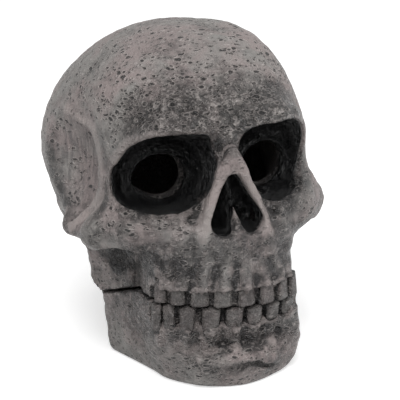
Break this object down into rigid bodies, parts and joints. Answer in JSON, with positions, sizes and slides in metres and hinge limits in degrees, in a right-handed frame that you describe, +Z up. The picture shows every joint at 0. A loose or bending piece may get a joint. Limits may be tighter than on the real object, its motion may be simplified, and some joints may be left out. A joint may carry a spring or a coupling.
{
  "type": "bubbling ornament",
  "caption": "Hollow resin skull ornament in upper and lower castings; aquarium air fills a bell and tips the upper casting back on a rear hinge to let bubbles out at the mouth.",
  "frame": {"origin": "middle of the overall footprint, on the ground under the foot", "axes": "+Z up; the face looks to -Y; +X is to the viewer's right when looking at the face"},
  "size_m": [0.092, 0.1084, 0.1167],
  "materials": {
    "resin": "cast resin, grey with a dark wash in the recesses and light rubbed edges",
    "hinge_plastic": "black moulded plastic",
    "air_plastic": "black moulded plastic, satin",
    "pin_steel": "stainless steel",
    "silicone": "milky silicone",
    "rubber": "black rubber"
  },
  "bodies": {
    "jaw": {"lower_jaw": "resin", "hinge_bracket_left": "hinge_plastic", "hinge_bracket_right": "hinge_plastic", "hinge_pin": "pin_steel", "pin_cap_left": "hinge_plastic", "pin_cap_right": "hinge_plastic", "rest_pad_left": "silicone", "rest_pad_right": "silicone", "air_inlet": "air_plastic", "inlet_grommet": "rubber", "air_hose": "silicone", "air_nozzle": "air_plastic", "nozzle_nut": "air_plastic"},
    "head": {"cranium": "resin", "hinge_leaf": "hinge_plastic", "air_bell": "air_plastic"}
  },
  "joints": [
    {"name": "head_tip", "type": "hinge", "parent": "jaw", "child": "head", "pos_m": [0, 0.015, 0.024], "axis": [-1, 0, 0], "range_deg": [0, 15]}
  ]
}
